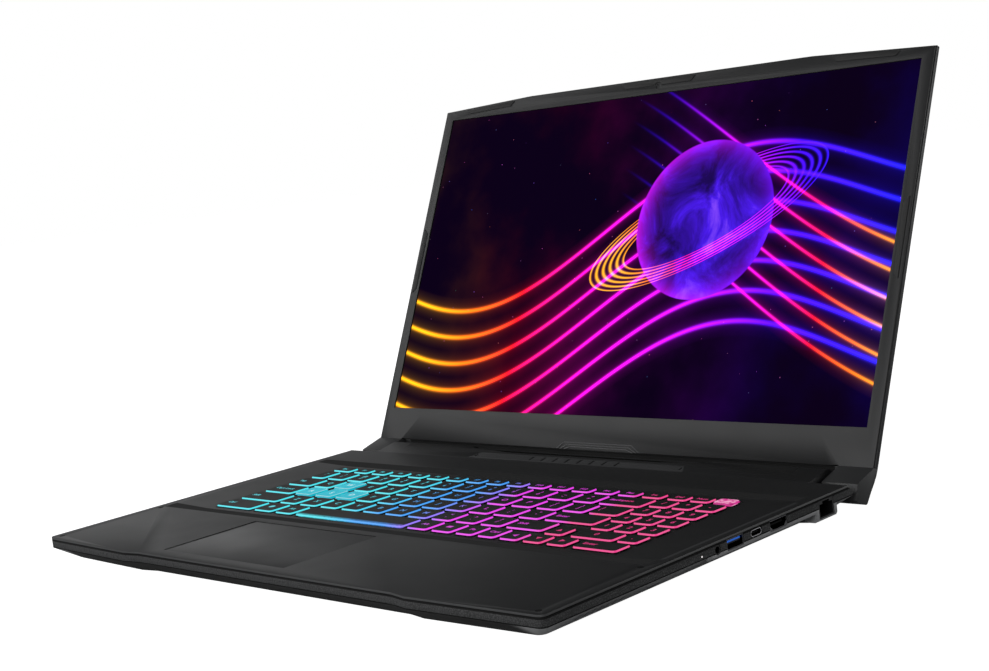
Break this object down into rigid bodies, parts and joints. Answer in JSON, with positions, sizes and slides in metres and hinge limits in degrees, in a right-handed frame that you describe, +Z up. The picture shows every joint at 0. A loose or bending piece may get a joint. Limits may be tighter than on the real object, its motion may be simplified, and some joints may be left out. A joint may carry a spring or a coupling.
{
  "type": "laptop computer",
  "caption": "Large gaming laptop, open: wedge-fronted base with lit keyboard, touchpad and side sockets, and a hinged lid with a wide screen.",
  "frame": {"origin": "on the table, under the middle of the open computer's box", "axes": "+X to the user's right, -Y towards the user, +Z up"},
  "size_m": [0.398, 0.3774, 0.2444],
  "materials": {
    "deck_plastic": "fine-grained soft-touch plastic",
    "shell_plastic": "fine-grained plastic with a woven-look band",
    "screw_steel": "plain",
    "foot_rubber": "plain",
    "strip_plastic": "as moulded",
    "plug_rubber": "plain",
    "dome_rubber": "plain",
    "plate_metal": "plain",
    "touchpad_film": "plain",
    "frame_plastic": "as moulded",
    "key_plastic": "soft-coated black caps with lit skirts",
    "socket_steel": "plain",
    "tongue_plastic": "as moulded",
    "socket_plastic": "as moulded",
    "light_lens": "plain",
    "board_laminate": "plain",
    "chip_silicon": "plain",
    "copper": "plain",
    "fin_aluminium": "plain",
    "fan_plastic": "as moulded",
    "battery_case": "plain",
    "speaker_plastic": "as moulded",
    "hinge_steel": "plain",
    "cover_plastic": "as moulded",
    "lid_plastic": "as moulded",
    "bezel_plastic": "as moulded",
    "bumper_rubber": "plain",
    "screen_glass": "matt coated panel, lit",
    "camera_plastic": "as moulded"
  },
  "bodies": {
    "base": {"palmrest_cover": "deck_plastic", "bottom_cover": "shell_plastic", "bottom_screws": "screw_steel", "rubber_feet": "foot_rubber", "vent_strip": "strip_plastic", "deck_plugs": "plug_rubber", "key_switch_sheet": "dome_rubber", "keyboard_plate": "plate_metal", "touchpad_frame": "frame_plastic", "usb_a_socket_right": "socket_steel", "usb_a_sockets_left": "socket_steel", "usb_tongues": "tongue_plastic", "usb_c_socket": "socket_steel", "hdmi_socket": "socket_steel", "network_socket": "socket_plastic", "audio_jack": "socket_plastic", "status_light": "light_lens", "power_inlet": "socket_plastic", "mainboard": "board_laminate", "processor_chips": "chip_silicon", "cold_plates": "copper", "heat_pipes": "copper", "fin_stack_left": "fin_aluminium", "fin_stack_right": "fin_aluminium", "fan_housing_left": "fan_plastic", "fan_housing_right": "fan_plastic", "battery": "battery_case", "speakers": "speaker_plastic", "solid_state_drive": "board_laminate", "memory_modules": "board_laminate", "wireless_card": "board_laminate", "hinge_bracket_left": "hinge_steel", "hinge_bracket_right": "hinge_steel"},
    "lid": {"lid_cover": "lid_plastic", "screen_bezel": "bezel_plastic", "bezel_bumpers": "bumper_rubber", "display_panel": "screen_glass", "webcam_module": "camera_plastic", "hinge_arm_left": "hinge_steel", "hinge_arm_right": "hinge_steel", "hinge_cover_left": "cover_plastic", "hinge_cover_right": "cover_plastic"},
    "fan_left": {"fan_rotor_left": "fan_plastic"},
    "fan_right": {"fan_rotor_right": "fan_plastic"},
    "pad": {"touchpad": "touchpad_film"},
    "key_power_body": {"key_power": "key_plastic"},
    "keys_function_body": {"keys_function": "key_plastic"},
    "keys_number_body": {"keys_number": "key_plastic"},
    "key_backspace_body": {"key_backspace": "key_plastic"},
    "keys_upper_row_body": {"keys_upper_row": "key_plastic"},
    "keys_home_row_body": {"keys_home_row": "key_plastic"},
    "key_enter_body": {"key_enter": "key_plastic"},
    "keys_lower_row_body": {"keys_lower_row": "key_plastic"},
    "keys_shift_body": {"keys_shift": "key_plastic"},
    "keys_modifiers_body": {"keys_modifiers": "key_plastic"},
    "key_space_body": {"key_space": "key_plastic"},
    "keys_wasd_body": {"keys_wasd": "key_plastic"},
    "keys_arrows_body": {"keys_arrows": "key_plastic"},
    "keys_number_pad_body": {"keys_number_pad": "key_plastic"},
    "key_pad_enter_body": {"key_pad_enter": "key_plastic"}
  },
  "joints": [
    {"name": "lid_hinge", "type": "hinge", "parent": "base", "child": "lid", "pos_m": [0, 0.07119, 0.0138], "axis": [1, 0, 0], "range_deg": [-24.7, 115.28]},
    {"name": "fan_left_spin", "type": "hinge", "parent": "base", "child": "fan_left", "pos_m": [-0.113, 0.02409, 0.0085], "axis": [0, 0, 1], "continuous": true},
    {"name": "fan_right_spin", "type": "hinge", "parent": "base", "child": "fan_right", "pos_m": [0.113, 0.02409, 0.0085], "axis": [0, 0, 1], "continuous": true},
    {"name": "touchpad_click", "type": "hinge", "parent": "base", "child": "pad", "pos_m": [-0.0395, -0.11411, 0.01655], "axis": [1, 0, 0], "range_deg": [0, 0.45], "stiffness_Nm_per_rad": 9, "springref_deg": -0.46},
    {"name": "power_press", "type": "slide", "parent": "base", "child": "key_power_body", "axis": [0, 0, -1], "range_m": [0, 0.0017], "stiffness_N_per_m": 330, "springref_m": -0.0012},
    {"name": "function_press", "type": "slide", "parent": "base", "child": "keys_function_body", "axis": [0, 0, -1], "range_m": [0, 0.0017], "stiffness_N_per_m": 5940, "springref_m": -0.0012},
    {"name": "number_press", "type": "slide", "parent": "base", "child": "keys_number_body", "axis": [0, 0, -1], "range_m": [0, 0.0017], "stiffness_N_per_m": 4290, "springref_m": -0.0012},
    {"name": "backspace_press", "type": "slide", "parent": "base", "child": "key_backspace_body", "axis": [0, 0, -1], "range_m": [0, 0.0017], "stiffness_N_per_m": 330, "springref_m": -0.0012},
    {"name": "upper_row_press", "type": "slide", "parent": "base", "child": "keys_upper_row_body", "axis": [0, 0, -1], "range_m": [0, 0.0017], "stiffness_N_per_m": 4290, "springref_m": -0.0012},
    {"name": "home_row_press", "type": "slide", "parent": "base", "child": "keys_home_row_body", "axis": [0, 0, -1], "range_m": [0, 0.0017], "stiffness_N_per_m": 2970, "springref_m": -0.0012},
    {"name": "enter_press", "type": "slide", "parent": "base", "child": "key_enter_body", "axis": [0, 0, -1], "range_m": [0, 0.0017], "stiffness_N_per_m": 330, "springref_m": -0.0012},
    {"name": "lower_row_press", "type": "slide", "parent": "base", "child": "keys_lower_row_body", "axis": [0, 0, -1], "range_m": [0, 0.0017], "stiffness_N_per_m": 3300, "springref_m": -0.0012},
    {"name": "shift_press", "type": "slide", "parent": "base", "child": "keys_shift_body", "axis": [0, 0, -1], "range_m": [0, 0.0017], "stiffness_N_per_m": 660, "springref_m": -0.0012},
    {"name": "modifiers_press", "type": "slide", "parent": "base", "child": "keys_modifiers_body", "axis": [0, 0, -1], "range_m": [0, 0.0017], "stiffness_N_per_m": 2310, "springref_m": -0.0012},
    {"name": "space_press", "type": "slide", "parent": "base", "child": "key_space_body", "axis": [0, 0, -1], "range_m": [0, 0.0017], "stiffness_N_per_m": 330, "springref_m": -0.0012},
    {"name": "wasd_press", "type": "slide", "parent": "base", "child": "keys_wasd_body", "axis": [0, 0, -1], "range_m": [0, 0.0017], "stiffness_N_per_m": 1320, "springref_m": -0.0012},
    {"name": "arrows_press", "type": "slide", "parent": "base", "child": "keys_arrows_body", "axis": [0, 0, -1], "range_m": [0, 0.0017], "stiffness_N_per_m": 1320, "springref_m": -0.0012},
    {"name": "number_pad_press", "type": "slide", "parent": "base", "child": "keys_number_pad_body", "axis": [0, 0, -1], "range_m": [0, 0.0017], "stiffness_N_per_m": 4620, "springref_m": -0.0012},
    {"name": "pad_enter_press", "type": "slide", "parent": "base", "child": "key_pad_enter_body", "axis": [0, 0, -1], "range_m": [0, 0.0017], "stiffness_N_per_m": 330, "springref_m": -0.0012}
  ]
}
